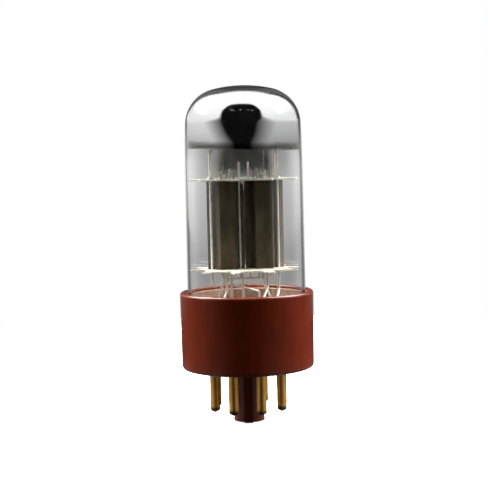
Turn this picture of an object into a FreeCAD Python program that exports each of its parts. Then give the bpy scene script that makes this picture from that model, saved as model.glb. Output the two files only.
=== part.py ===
import FreeCAD, Part
import Sketcher
import math
import os

from FreeCAD import Vector, Placement, Rotation

# Octal-base vacuum tube, a glass twin triode with a straight bulb, in millimetres.
# Frame: origin at the centre of the base's seating plane, on the tube's axis.
# +Z runs up to the dome. The ridge of the locating key points along -Y.
# Pin 1 is the first pin after the ridge, and the pins count counter-clockwise seen from above.

doc = FreeCAD.newDocument("vacuum_tube")
sheet = doc.addObject("Spreadsheet::Sheet", "Params")
sheet.Label = "Params"

SIZES = [
    # phenolic base and locating key
    ("base_height", 18.65), ("base_top_radius", 16.22), ("base_foot_radius", 16.05),
    ("rim_inner_radius", 14.95), ("shelf_height", 7.1), ("well_radius", 13.7),
    ("floor_thick", 2.2), ("key_radius", 3.7), ("key_length", 12.95),
    ("key_bore_radius", 2.75), ("key_floor", 1.1), ("ridge_width", 2.0),
    ("ridge_reach", 4.5), ("foot_fillet", 0.9), ("rim_fillet", 0.65),
    # contact pins
    ("pin_circle_radius", 8.73), ("pin_radius", 1.18), ("pin_shank", 1.5), ("pin_length", 10.1),
    ("pin_bore", 0.85), ("pin_mouth", 0.6), ("pin_nose", 0.56), ("pin_head", 3.5), ("pin_collar", 1.9),
    ("pin_first_angle", -67.5), ("pin_step_angle", 45),
    # glass bulb: the outer outline is three tangent arcs and a wall that widens a little to its foot
    ("dome_top", 68.2), ("bulb_radius", 14.2), ("bulb_foot_radius", 14.35), ("bulb_wall", 0.65),
    ("crown_arc", 30.65), ("crown_reach", 7.245), ("crown_drop", 0.868594),
    ("shoulder_arc", 8.74), ("shoulder_reach", 13.907245), ("shoulder_drop", 8.906750),
    ("flank_arc", 216.697844), ("flank_drop", 20.167),
    ("crown_lean", 0.236378), ("crown_rise", 0.971661),
    ("shoulder_lean", 0.99864902), ("shoulder_rise", 0.05196291),
    ("tuck_start", 11.9), ("tuck_end", 8.8), ("lip_radius", 11.2),
    # getter film on the inside of the dome
    ("film_thick", 0.1), ("film_gap", 0.02), ("film_edge", 45.95),
    # button stem and exhaust tip
    ("stem_bottom", 8.7), ("stem_top", 11.1), ("stem_radius", 11.15), ("seal_circle", 7.4),
    ("bead_radius", 1.15), ("bead_height", 1.5), ("tip_radius", 2.0), ("tip_bore", 1.2), ("tip_end", -6.5),
    # electrode mount, turned a little from the key
    ("mount_turn", 10.4), ("mount_shift", -0.15),
    ("mica_low", 23.8), ("mica_high", 45.45), ("mica_thick", 0.35), ("mica_reach", 13.35),
    ("anode_pitch", 4.35), ("anode_sheet", 0.2), ("anode_depth", 3.0),
    ("anode_face", 1.95), ("anode_root", 2.9), ("anode_wing_in", 4.25),
    ("anode_wing_a", 4.7), ("anode_wing_b", 5.2),
    ("tab_width", 0.35), ("tab_height", 2.2),
    ("rod_radius", 0.3), ("outer_rod_at", 8.15), ("rod_front", 0.6),
    ("inner_rod_radius", 0.22), ("inner_rod_at", 1.2), ("inner_rod_front", 0.46),
    ("lug_height", 1.3), ("lug_depth", 0.12),
    ("outer_rod_top", 56.1), ("inner_rod_top", 49.8), ("rod_foot", 20.7),
    ("grid_rod_radius", 0.2), ("grid_rod_at", 0.98), ("grid_foot", 21.5), ("grid_top", 48.2),
    ("grid_wire", 0.09), ("grid_pitch", 0.75), ("grid_turns", 25), ("grid_first", 25.7),
    ("cathode_radius", 0.5), ("cathode_wall", 0.08), ("cathode_foot", 23.1), ("cathode_top", 47.0),
    ("heater_wire", 0.14), ("heater_leg", 0.2), ("heater_foot", 21.1), ("heater_top", 46.1),
    ("lead_radius", 0.3), ("lead_foot", -8.9), ("solder_top", -8.2),
]

for row, (alias, size) in enumerate(SIZES, start=1):
    sheet.set("A%d" % row, alias)
    sheet.set("B%d" % row, repr(size))
    sheet.setAlias("B%d" % row, alias)
doc.recompute()


class Size:
    """A length, with the sheet expression that gives it."""

    def __init__(self, value, text):
        self.value, self.text = float(value), text

    @staticmethod
    def of(other):
        if isinstance(other, Size):
            return other
        text = "%.6f" % abs(other)
        return Size(other, text if other >= 0 else "(0 - %s)" % text)

    def __add__(self, other):
        other = Size.of(other)
        return Size(self.value + other.value, "(%s + %s)" % (self.text, other.text))

    def __sub__(self, other):
        other = Size.of(other)
        return Size(self.value - other.value, "(%s - %s)" % (self.text, other.text))

    def __mul__(self, other):
        other = Size.of(other)
        return Size(self.value * other.value, "(%s * %s)" % (self.text, other.text))

    def __truediv__(self, other):
        other = Size.of(other)
        return Size(self.value / other.value, "(%s / %s)" % (self.text, other.text))

    def __neg__(self):
        return Size(-self.value, "(0 - %s)" % self.text)

    def __radd__(self, other):
        return Size.of(other) + self

    def __rsub__(self, other):
        return Size.of(other) - self

    def __rmul__(self, other):
        return Size.of(other) * self


P = {alias: Size(size, "Params." + alias) for alias, size in SIZES}
V = {alias: float(size) for alias, size in SIZES}


def value(x):
    return x.value if isinstance(x, Size) else float(x)


# ---------------------------------------------------------------- helpers

def plane_of(body, role):
    for feature in body.Origin.OriginFeatures:
        if feature.Role == role:
            return feature
    raise RuntimeError("no plane " + role)


def new_body(name):
    body = doc.addObject("PartDesign::Body", name)
    body.Label = name
    return body


def bind(obj, prop, size):
    if isinstance(size, Size):
        obj.setExpression(prop, size.text)
    else:
        setattr(obj, prop, size)


def new_sketch(body, name, role, height=None):
    sketch = body.newObject("Sketcher::SketchObject", name)
    sketch.AttachmentSupport = (plane_of(body, role), "")
    sketch.MapMode = "FlatFace"
    if height is not None:
        sketch.AttachmentOffset = Placement(Vector(0, 0, value(height)), Rotation())
        if isinstance(height, Size):
            sketch.setExpression("AttachmentOffset.Base.z", height.text)
    return sketch


def outline(sketch, start, steps):
    """A closed outline. A step is (x, y) for a straight run, or (x, y, mid_x, mid_y, radius) for an arc. Its radius is None where the arc's centre is on the axis."""
    corners = [start] + [(s[0], s[1]) for s in steps]
    count = len(steps)
    ends = []
    for i, step in enumerate(steps):
        a = Vector(value(corners[i][0]), value(corners[i][1]), 0)
        b = Vector(value(step[0]), value(step[1]), 0)
        if len(step) == 2:
            geo = sketch.addGeometry(Part.LineSegment(a, b), False)
            ends.append((geo, 1, 2))
        else:
            mid = Vector(value(step[2]), value(step[3]), 0)
            geo = sketch.addGeometry(Part.Arc(a, mid, b), False)
            first = sketch.getPoint(geo, 1)
            flip = (first - a).Length > (first - b).Length
            ends.append((geo, 2, 1) if flip else (geo, 1, 2))
    for i in range(count):
        geo, _, end = ends[i]
        nxt, begin, _ = ends[(i + 1) % count]
        sketch.addConstraint(Sketcher.Constraint("Coincident", geo, end, nxt, begin))
    for i in range(count):
        geo, begin, _ = ends[i]
        for kind, axis, size in (("DistanceX", -2, corners[i][0]), ("DistanceY", -1, corners[i][1])):
            if abs(value(size)) < 1e-9:
                sketch.addConstraint(Sketcher.Constraint("PointOnObject", geo, begin, axis))
            else:
                index = sketch.addConstraint(Sketcher.Constraint(kind, -1, 1, geo, begin, value(size)))
                if isinstance(size, Size):
                    sketch.setExpression("Constraints[%d]" % index, size.text)
        if len(steps[i]) == 5 and steps[i][4] is None:
            # an arc whose centre lies on the axis of revolution
            sketch.addConstraint(Sketcher.Constraint("PointOnObject", geo, 3, -2))
        elif len(steps[i]) == 5:
            index = sketch.addConstraint(Sketcher.Constraint("Radius", geo, value(steps[i][4])))
            if isinstance(steps[i][4], Size):
                sketch.setExpression("Constraints[%d]" % index, steps[i][4].text)
    return sketch


def circle(sketch, x, y, radius):
    geo = sketch.addGeometry(Part.Circle(Vector(value(x), value(y), 0), Vector(0, 0, 1), value(radius)), False)
    index = sketch.addConstraint(Sketcher.Constraint("Radius", geo, value(radius)))
    if isinstance(radius, Size):
        sketch.setExpression("Constraints[%d]" % index, radius.text)
    for kind, axis, size in (("DistanceX", -2, x), ("DistanceY", -1, y)):
        if abs(value(size)) < 1e-9:
            sketch.addConstraint(Sketcher.Constraint("PointOnObject", geo, 3, axis))
        else:
            index = sketch.addConstraint(Sketcher.Constraint(kind, -1, 1, geo, 3, value(size)))
            if isinstance(size, Size):
                sketch.setExpression("Constraints[%d]" % index, size.text)


def revolve(body, sketch, name):
    feature = body.newObject("PartDesign::Revolution", name)
    feature.Profile = sketch
    feature.ReferenceAxis = (sketch, ["V_Axis"])
    feature.Angle = 360.0
    return feature


def pad(body, sketch, name, length):
    feature = body.newObject("PartDesign::Pad", name)
    feature.Profile = sketch
    bind(feature, "Length", length)
    return feature


def turned(name, start, steps):
    """A turned piece: an outline in the XZ plane, revolved about the Z axis."""
    body = new_body(name)
    sketch = outline(new_sketch(body, name + "_outline", "XZ_Plane"), start, steps)
    revolve(body, sketch, name + "_turn")
    return body


def fillet_at(body, name, radius, test):
    """Round the edges of the body's tip that pass the test."""
    doc.recompute()
    tip = body.Tip
    names = ["Edge%d" % (i + 1) for i, e in enumerate(tip.Shape.Edges) if test(e)]
    if not names:
        raise RuntimeError("no edges to round on " + name)
    feature = body.newObject("PartDesign::Fillet", name)
    feature.Base = (tip, names)
    bind(feature, "Radius", radius)
    return feature


def ring_edge(radius, z, tol=0.02):
    def test(edge):
        curve = edge.Curve
        return (isinstance(curve, Part.Circle) and abs(curve.Radius - radius) < tol
                and abs(curve.Center.z - z) < tol and math.hypot(curve.Center.x, curve.Center.y) < tol)
    return test


def made(name, shape):
    """A piece whose shape comes from Part's own functions, where neither sketches nor primitives fit."""
    feature = doc.addObject("Part::Feature", name)
    feature.Label = name
    feature.Shape = shape
    return feature


def wire_rod(points, radius, bend):
    """A round wire: straight runs joined by tangent arcs of the given bend radius."""
    pts = [Vector(*p) for p in points]
    edges = []
    here = pts[0]
    for i in range(1, len(pts) - 1):
        a = (pts[i - 1] - pts[i]).normalize()
        b = (pts[i + 1] - pts[i]).normalize()
        angle = math.acos(max(-1, min(1, a.dot(b))))
        cut = bend / math.tan(angle / 2)
        p = pts[i] + a * cut
        q = pts[i] + b * cut
        middle = (a + b).normalize()
        centre = pts[i] + middle * (bend / math.sin(angle / 2))
        m = centre - middle * bend
        if (p - here).Length > 1e-6:
            edges.append(Part.LineSegment(here, p).toShape())
        edges.append(Part.Arc(p, m, q).toShape())
        here = q
    edges.append(Part.LineSegment(here, pts[-1]).toShape())
    spine = Part.Wire(edges)
    start = (pts[1] - pts[0]).normalize()
    profile = Part.Wire([Part.Circle(pts[0], start, radius).toShape()])
    shape = spine.makePipeShell([profile], True, False)
    length = spine.Length
    solid = Part.Solid(shape) if shape.ShapeType != "Solid" else shape
    want = math.pi * radius * radius * length
    if abs(solid.Volume - want) > 0.02 * want:
        raise RuntimeError("wire volume %.3f, wanted %.3f" % (solid.Volume, want))
    return solid


# ---------------------------------------------------------------- phenolic base

base = new_body("base_shell")
outline(new_sketch(base, "base_outline", "XZ_Plane"),
        (0.0, -P["key_length"]),
        [(P["key_radius"], -P["key_length"]),
         (P["key_radius"], 0.0),
         (P["base_foot_radius"], 0.0),
         (P["base_top_radius"], P["base_height"]),
         (P["rim_inner_radius"], P["base_height"]),
         (P["rim_inner_radius"], P["shelf_height"]),
         (P["well_radius"], P["shelf_height"]),
         (P["well_radius"], P["floor_thick"]),
         (P["key_bore_radius"], P["floor_thick"]),
         (P["key_bore_radius"], P["key_floor"] - P["key_length"]),
         (0.0, P["key_floor"] - P["key_length"]),
         (0.0, -P["key_length"])])
revolve(base, doc.getObject("base_outline"), "base_turn")
ridge = new_sketch(base, "ridge_outline", "XY_Plane", -P["key_length"])
half = P["ridge_width"] / 2.0
outline(ridge, (-half, -P["ridge_reach"]),
        [(half, -P["ridge_reach"]), (half, -P["key_radius"] + 0.6),
         (-half, -P["key_radius"] + 0.6), (-half, -P["ridge_reach"])])
pad(base, ridge, "ridge", P["key_length"] + 0.5)
fillet_at(base, "foot_round", P["foot_fillet"], ring_edge(V["base_foot_radius"], 0.0))
fillet_at(base, "rim_round", P["rim_fillet"], ring_edge(V["base_top_radius"], V["base_height"]))
fillet_at(base, "rim_inner_round", 0.3, ring_edge(V["rim_inner_radius"], V["base_height"]))
hole = new_sketch(base, "pin_hole_outline", "XY_Plane", -1.0)
first = math.radians(V["pin_first_angle"])
circle(hole, P["pin_circle_radius"] * math.cos(first), P["pin_circle_radius"] * math.sin(first), P["pin_shank"] + 0.01)
doc.recompute()
before = base.Shape.Volume
cut = base.newObject("PartDesign::Pocket", "pin_hole")
cut.Profile = hole
cut.Reversed = True
bind(cut, "Length", P["floor_thick"] + 2.0)
holes = base.newObject("PartDesign::PolarPattern", "pin_holes")
holes.Originals = [cut]
holes.Axis = (plane_of(base, "Z_Axis"), [""])
holes.Angle = 360.0
holes.Occurrences = 8
base.Tip = holes
doc.recompute()
gone = before - base.Shape.Volume
want = 8 * math.pi * (V["pin_shank"] + 0.01) ** 2 * V["floor_thick"]
if abs(gone - want) > 0.02 * want:
    raise RuntimeError("pin holes took %.2f, wanted %.2f" % (gone, want))

# Cement that holds the bulb in the base's rim, a little below the rim's top.
turned("basing_cement", (P["bulb_foot_radius"] + 0.01, P["tuck_start"]),
       [(P["rim_inner_radius"] - 0.01, P["tuck_start"]),
        (P["rim_inner_radius"] - 0.01, P["base_height"] - 0.75),
        (P["bulb_foot_radius"] + 0.01, P["base_height"] - 0.95),
        (P["bulb_foot_radius"] + 0.01, P["tuck_start"])])

# ---------------------------------------------------------------- contact pins
# Tubes with a thicker shank moulded into the floor and a turned-over collar above it.

for number in range(8):
    name = "pin_%d" % (number + 1)
    angle = math.radians(V["pin_first_angle"] + number * V["pin_step_angle"])
    body = turned(name, (P["pin_bore"], P["pin_head"]),
                  [(P["pin_bore"], -P["pin_length"] + 1.0),
                   (P["pin_mouth"], -P["pin_length"] + 0.55),
                   (P["pin_mouth"], -P["pin_length"]),
                   (P["pin_radius"], -P["pin_length"]),
                   (P["pin_radius"], 0.0),
                   (P["pin_shank"], 0.0),
                   (P["pin_shank"], P["floor_thick"] + 0.01),
                   (P["pin_collar"], P["floor_thick"] + 0.01),
                   (P["pin_collar"], P["floor_thick"] + 0.4),
                   (P["pin_shank"], P["floor_thick"] + 0.4),
                   (P["pin_shank"], P["pin_head"]),
                   (P["pin_bore"], P["pin_head"])])
    fillet_at(body, name + "_nose", P["pin_nose"], ring_edge(V["pin_radius"], -V["pin_length"]))
    body.Placement = Placement(Vector(V["pin_circle_radius"] * math.cos(angle),
                                      V["pin_circle_radius"] * math.sin(angle), 0), Rotation())
    body.setExpression("Placement.Base.x", "Params.pin_circle_radius * %.9f" % math.cos(angle))
    body.setExpression("Placement.Base.y", "Params.pin_circle_radius * %.9f" % math.sin(angle))


def pin_place(number, radius):
    angle = math.radians(V["pin_first_angle"] + number * V["pin_step_angle"])
    return radius * math.cos(angle), radius * math.sin(angle)


# Solder in each pin's nose, round the end of its lead.
def bead_shape():
    tip = -V["pin_length"]
    r = V["lead_radius"] + 0.005
    pts = [(r, V["solder_top"]), (V["pin_bore"] - 0.01, V["solder_top"]),
           (V["pin_bore"] - 0.01, tip + 1.0), (V["pin_mouth"] - 0.01, tip + 0.56),
           (V["pin_mouth"] - 0.01, tip - 0.02)]
    nose = (V["pin_mouth"] - 0.01, tip - 0.02)
    low = (0.0, tip - 0.3)
    rise = 0.28
    ball = (nose[0] ** 2 + rise ** 2) / (2 * rise)
    half_angle = math.asin(nose[0] / ball) / 2
    mid = (ball * math.sin(half_angle), low[1] + ball * (1 - math.cos(half_angle)))
    edges = [Part.LineSegment(Vector(a[0], 0, a[1]), Vector(b[0], 0, b[1])).toShape()
             for a, b in zip(pts, pts[1:])]
    edges.append(Part.Arc(Vector(nose[0], 0, nose[1]), Vector(mid[0], 0, mid[1]), Vector(low[0], 0, low[1])).toShape())
    rest = [low, (0.0, V["lead_foot"] - 0.005), (r, V["lead_foot"] - 0.005), (r, V["solder_top"])]
    edges += [Part.LineSegment(Vector(a[0], 0, a[1]), Vector(b[0], 0, b[1])).toShape()
              for a, b in zip(rest, rest[1:])]
    face = Part.Face(Part.Wire(edges))
    return face.revolve(Vector(0, 0, 0), Vector(0, 0, 1), 360)


beads = []
for number in range(8):
    x, y = pin_place(number, V["pin_circle_radius"])
    bead = bead_shape()
    bead.translate(Vector(x, y, 0))
    beads.append(bead)
made("pin_solder", Part.Compound(beads))

# ---------------------------------------------------------------- glass bulb


def dome_point(reach, drop, lean, rise, depth):
    """A junction of the dome's arcs, moved in by depth along the outline's normal."""
    return reach - lean * depth, P["dome_top"] - drop - rise * depth


def arc_middle(a, b, radius, side=1.0):
    """The middle of the arc of this radius from a to b, bulging outward."""
    ax, ay, bx, by, r = value(a[0]), value(a[1]), value(b[0]), value(b[1]), value(radius)
    mx, my = (ax + bx) / 2, (ay + by) / 2
    dx, dy = bx - ax, by - ay
    span = math.hypot(dx, dy)
    lift = r - math.sqrt(r * r - span * span / 4)
    return mx + side * dy / span * lift, my - side * dx / span * lift


def dome_steps(depth, down):
    """The dome's corners at a depth below the outer surface, from the axis out, and its arcs' radii."""
    crown = (0.0, P["dome_top"] - depth)
    one = dome_point(P["crown_reach"], P["crown_drop"], P["crown_lean"], P["crown_rise"], depth)
    two = dome_point(P["shoulder_reach"], P["shoulder_drop"], P["shoulder_lean"], P["shoulder_rise"], depth)
    three = (P["bulb_radius"] - depth, P["dome_top"] - P["flank_drop"])
    return [crown, one, two, three], [P["crown_arc"] - depth, P["shoulder_arc"] - depth, P["flank_arc"] - depth]


def arc_step(a, b, radius, side):
    mid = arc_middle(a, b, radius, side)
    crown = value(a[0]) == 0.0 or value(b[0]) == 0.0
    return (b[0], b[1], mid[0], mid[1], None if crown else radius)


outer, outer_r = dome_steps(Size.of(0.0), True)
inner, inner_r = dome_steps(P["bulb_wall"], True)
outer_tuck = (P["bulb_foot_radius"], P["tuck_start"])
inner_tuck = (P["bulb_foot_radius"] - P["bulb_wall"], P["tuck_start"] + 0.3)
lip_out = (P["lip_radius"] + 0.9, P["tuck_end"])
lip_in = (P["lip_radius"] + 0.01, P["tuck_end"] + 0.6)
steps = [arc_step(outer[0], outer[1], outer_r[0], -1), arc_step(outer[1], outer[2], outer_r[1], -1),
         arc_step(outer[2], outer[3], outer_r[2], -1), outer_tuck,
         arc_step(outer_tuck, lip_out, Size.of(3.4), -1), lip_in,
         arc_step(lip_in, inner_tuck, Size.of(2.9), 1), inner[3],
         arc_step(inner[3], inner[2], inner_r[2], 1), arc_step(inner[2], inner[1], inner_r[1], 1),
         arc_step(inner[1], inner[0], inner_r[0], 1), outer[0]]
turned("glass_bulb", outer[0], steps)

# Getter film: the silver coat on the dome's inner wall. It thins out down the wall and ends above the mount.
a_pts, a_r = dome_steps(P["bulb_wall"] + P["film_gap"], True)
b_pts, b_r = dome_steps(P["bulb_wall"] + P["film_gap"] + P["film_thick"], True)
turned("getter_mirror", a_pts[0],
       [arc_step(a_pts[0], a_pts[1], a_r[0], -1), arc_step(a_pts[1], a_pts[2], a_r[1], -1),
        arc_step(a_pts[2], a_pts[3], a_r[2], -1), (a_pts[3][0], P["film_edge"]),
        (b_pts[3][0], P["film_edge"]), b_pts[3],
        arc_step(b_pts[3], b_pts[2], b_r[2], 1), arc_step(b_pts[2], b_pts[1], b_r[1], 1),
        arc_step(b_pts[1], b_pts[0], b_r[0], 1), a_pts[0]])

# ---------------------------------------------------------------- button stem and exhaust tip

stem = new_body("glass_stem")
outline(new_sketch(stem, "stem_outline", "XZ_Plane"), (P["tip_bore"], P["stem_bottom"]),
        [(P["stem_radius"] - 0.6, P["stem_bottom"]), (P["stem_radius"], P["stem_bottom"] + 0.6),
         (P["stem_radius"], P["stem_top"] - 0.5), (P["stem_radius"] - 0.5, P["stem_top"]),
         (P["tip_bore"], P["stem_top"]), (P["tip_bore"], P["stem_bottom"])])
revolve(stem, doc.getObject("stem_outline"), "stem_turn")
bead_low = new_sketch(stem, "bead_outline", "XY_Plane", P["stem_bottom"] - P["bead_height"] * 0.5)
bx, by = math.cos(first), math.sin(first)
circle(bead_low, P["seal_circle"] * bx, P["seal_circle"] * by, P["bead_radius"])
bead_pad = pad(stem, bead_low, "bead", P["stem_top"] - P["stem_bottom"] + P["bead_height"])
beads_round = stem.newObject("PartDesign::PolarPattern", "beads")
beads_round.Originals = [bead_pad]
beads_round.Axis = (plane_of(stem, "Z_Axis"), [""])
beads_round.Angle = 360.0
beads_round.Occurrences = 8
stem.Tip = beads_round
doc.recompute()
low, high = V["stem_bottom"] - V["bead_height"] * 0.5, V["stem_top"] + V["bead_height"] * 0.5


def bead_rim(edge):
    curve = edge.Curve
    return (isinstance(curve, Part.Circle) and abs(curve.Radius - V["bead_radius"]) < 0.02
            and (abs(curve.Center.z - low) < 0.02 or abs(curve.Center.z - high) < 0.02))


fillet_at(stem, "bead_round", 0.55, bead_rim)
seal = new_sketch(stem, "seal_outline", "XY_Plane", 0.0)
circle(seal, P["seal_circle"] * bx, P["seal_circle"] * by, P["lead_radius"] + 0.005)
doc.recompute()
before = stem.Shape.Volume
seal_cut = stem.newObject("PartDesign::Pocket", "seal")
seal_cut.Profile = seal
seal_cut.Reversed = True
seal_cut.Length = 30.0
seals = stem.newObject("PartDesign::PolarPattern", "seals")
seals.Originals = [seal_cut]
seals.Axis = (plane_of(stem, "Z_Axis"), [""])
seals.Angle = 360.0
seals.Occurrences = 8
stem.Tip = seals
doc.recompute()
if stem.Shape.Volume > before - 1.0:
    raise RuntimeError("the seals cut nothing")

tip_wall = P["tip_radius"] - P["tip_bore"]
turned("exhaust_tip", (P["tip_bore"], P["stem_bottom"] - 0.01),
       [(P["tip_radius"], P["stem_bottom"] - 0.01), (P["tip_radius"], P["tip_end"] + 4.0),
        (P["tip_radius"] * 0.55, P["tip_end"] + 1.2), (0.0, P["tip_end"]),
        (0.0, P["tip_end"] + 2.0), (P["tip_bore"] * 0.5, P["tip_end"] + 2.6),
        (P["tip_bore"], P["tip_end"] + 4.4), (P["tip_bore"], P["stem_bottom"] - 0.01)])

# ---------------------------------------------------------------- electrode mount
# The mount has its own axes: u across the two anodes, v away from the front, turned about Z.

turn = math.radians(V["mount_turn"])
MOUNT = Placement(Vector(V["mount_shift"], 0, 0), Rotation(Vector(0, 0, 1), V["mount_turn"]))


def place_mount(body):
    body.Placement = MOUNT
    body.setExpression("Placement.Base.x", "Params.mount_shift")
    body.setExpression("Placement.Rotation.Angle", "Params.mount_turn")
    return body


def mount_xyz(u, v, z):
    p = MOUNT.multVec(Vector(u, v, z))
    return p.x, p.y, p.z


SECTIONS = (("a", -1.0), ("b", 1.0))


def mica(name, height, edge_nicks):
    body = new_body(name)
    reach = V["mica_reach"]
    # a long plate with pointed teeth that bear on the glass
    teeth = [(0.0, 9.9, 1.3), (33.0, 11.2, 1.0), (68.0, 8.9, 1.1), (112.0, 8.9, 1.1), (147.0, 11.2, 1.0),
             (180.0, 9.9, 1.3), (213.0, 11.2, 1.0), (248.0, 8.9, 1.1), (292.0, 8.9, 1.1), (327.0, 11.2, 1.0)]
    pts = []
    for angle, root, halfwidth in teeth:
        t = math.radians(angle)
        c, s = math.cos(t), math.sin(t)
        length = reach
        for dr, dw in ((root, -halfwidth), (length, -0.22), (length, 0.22), (root, halfwidth)):
            pts.append((dr * c - dw * s, dr * s + dw * c))
    sketch = new_sketch(body, name + "_outline", "XY_Plane", height)
    outline(sketch, pts[0], [p for p in pts[1:]] + [pts[0]])
    pad(body, sketch, name + "_sheet", P["mica_thick"])
    holes = new_sketch(body, name + "_holes", "XY_Plane", height - 1.0)
    for _, side in SECTIONS:
        circle(holes, P["outer_rod_at"] * side, -P["rod_front"], P["rod_radius"] + 0.01)
        front = -1.0 if side < 0 else 1.0
        circle(holes, P["inner_rod_at"] * side, P["inner_rod_front"] * front, P["inner_rod_radius"] + 0.01)
        circle(holes, P["anode_pitch"] * side, 0.0, P["cathode_radius"] + 0.01)
        for lr in (-1.0, 1.0):
            circle(holes, P["anode_pitch"] * side + P["grid_rod_at"] * lr, 0.0, P["grid_rod_radius"] + 0.01)
            for fb in (-1.0, 1.0):
                at_u = P["anode_pitch"] * side + (P["anode_face"] - 0.45) * lr
                w = P["tab_width"] / 2.0 + 0.02
                near = (P["anode_depth"] - P["anode_sheet"] / 2.0) * fb
                t = P["anode_sheet"] / 2.0 + 0.02
                outline(holes, (at_u - w, near - t),
                        [(at_u + w, near - t), (at_u + w, near + t), (at_u - w, near + t), (at_u - w, near - t)])
    doc.recompute()
    before = body.Shape.Volume
    cut = body.newObject("PartDesign::Pocket", name + "_cut")
    cut.Profile = holes
    cut.Reversed = True
    cut.Length = 3.0
    doc.recompute()
    if body.Shape.Volume > before - 1.0:
        raise RuntimeError("no holes in " + name)
    return place_mount(body)


mica("mica_top", P["mica_high"], True)
mica("mica_bottom", P["mica_low"], False)


def anode_half(name, side, fb):
    """One half of a section's anode: a folded sheet with a box, two wings and four locking tabs."""
    body = new_body(name)
    t = P["anode_sheet"]
    gap = 0.01
    at = P["anode_pitch"] * side
    outer_wing = P["anode_wing_a"] if side < 0 else P["anode_wing_b"]
    left = outer_wing if side < 0 else P["anode_wing_in"]
    right = P["anode_wing_in"] if side < 0 else outer_wing
    root, face, depth = P["anode_root"], P["anode_face"], P["anode_depth"]
    pts = [(at - left, gap), (at - root + 0.07, gap), (at - face + 0.07, depth - t),
           (at + face - 0.07, depth - t), (at + root - 0.07, gap), (at + right, gap),
           (at + right, t + gap), (at + root + 0.08, t + gap), (at + face + 0.08, depth),
           (at - face - 0.08, depth), (at - root - 0.08, t + gap), (at - left, t + gap)]
    pts = [(x, y * fb if fb > 0 else -y) if isinstance(y, Size) else (x, y * fb) for x, y in pts]
    foot = P["mica_low"] + P["mica_thick"] + 0.02
    height = P["mica_high"] - 0.02 - foot
    sketch = outline(new_sketch(body, name + "_outline", "XY_Plane", foot), pts[0], pts[1:] + [pts[0]])
    pad(body, sketch, name + "_sheet", height)
    tabs = new_sketch(body, name + "_tab_outline", "XY_Plane", foot - P["tab_height"] + 0.6)
    for lr in (-1.0, 1.0):
        u = at + (face - 0.45) * lr
        w = P["tab_width"] / 2.0
        near, far = (depth - t) * fb, depth * fb
        outline(tabs, (u - w, near), [(u + w, near), (u + w, far), (u - w, far), (u - w, near)])
    pad(body, tabs, name + "_tabs", height + P["tab_height"] * 2.0 - 0.4)
    if fb < 0:
        # staked lugs that clench the outer wings together, clear of the rod
        for i, z in enumerate((27.6, 33.2, 38.8, 43.4)):
            lug = new_sketch(body, "%s_lug_outline_%d" % (name, i), "XZ_Plane", P["anode_sheet"] - 0.04)
            near, far = (P["outer_rod_at"] + P["rod_radius"] + 0.06) * side, (outer_wing + P["anode_pitch"] - 0.05) * side
            a, b = (near, far) if side > 0 else (far, near)
            outline(lug, (a, z), [(b, z), (b, z + P["lug_height"]), (a, z + P["lug_height"]), (a, z)])
            pad(body, lug, "%s_lug_%d" % (name, i), P["lug_depth"] + gap + 0.04)
    return place_mount(body)


for letter, side in SECTIONS:
    anode_half("anode_%s_front" % letter, side, -1.0)
    anode_half("anode_%s_back" % letter, side, 1.0)


def rod(name, u, v, foot, top, radius):
    body = new_body(name)
    sketch = new_sketch(body, name + "_outline", "XY_Plane", foot)
    circle(sketch, u, v, radius)
    pad(body, sketch, name + "_length", top - foot)
    return place_mount(body)


for letter, side in SECTIONS:
    rod("rod_%s_outer" % letter, P["outer_rod_at"] * side, -P["rod_front"], P["rod_foot"], P["outer_rod_top"], P["rod_radius"])
    rod("rod_%s_inner" % letter, P["inner_rod_at"] * side, P["inner_rod_front"] * side, P["rod_foot"] + 1.0, P["inner_rod_top"], P["inner_rod_radius"])

# Grids: two side rods each, and a wound grid of level turns outside them.
for letter, side in SECTIONS:
    solids = []
    for lr in (-1.0, 1.0):
        x, y, z = mount_xyz(V["anode_pitch"] * side + V["grid_rod_at"] * lr, 0.0, V["grid_foot"])
        top = V["grid_top"] - (0.35 if lr * side > 0 else 0.0)
        solids.append(Part.makeCylinder(V["grid_rod_radius"], top - V["grid_foot"], Vector(x, y, z), Vector(0, 0, 1)))
    made("grid_%s_rods" % letter, Part.Compound(solids))
    turns = []
    clear = V["grid_rod_at"] + V["grid_rod_radius"] + 0.01
    deep = 0.62
    wire = V["grid_wire"]
    for n in range(int(V["grid_turns"])):
        z = V["grid_first"] + n * V["grid_pitch"]
        ring = None
        for grow in (wire, 0.0):
            hx, hy = clear + grow, deep + grow
            r = 0.45 + grow
            box = Part.makeBox(2 * hx, 2 * hy, wire, Vector(-hx, -hy, z))
            box = box.makeFillet(r, [e for e in box.Edges if abs(e.tangentAt(e.FirstParameter).z) > 0.9])
            ring = box if ring is None else ring.cut(box)
        ring.translate(Vector(V["anode_pitch"] * side, 0, 0))
        ring.Placement = MOUNT.multiply(ring.Placement)
        turns.append(ring.Solids[0])
    made("grid_%s_winding" % letter, Part.Compound(turns))

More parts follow.
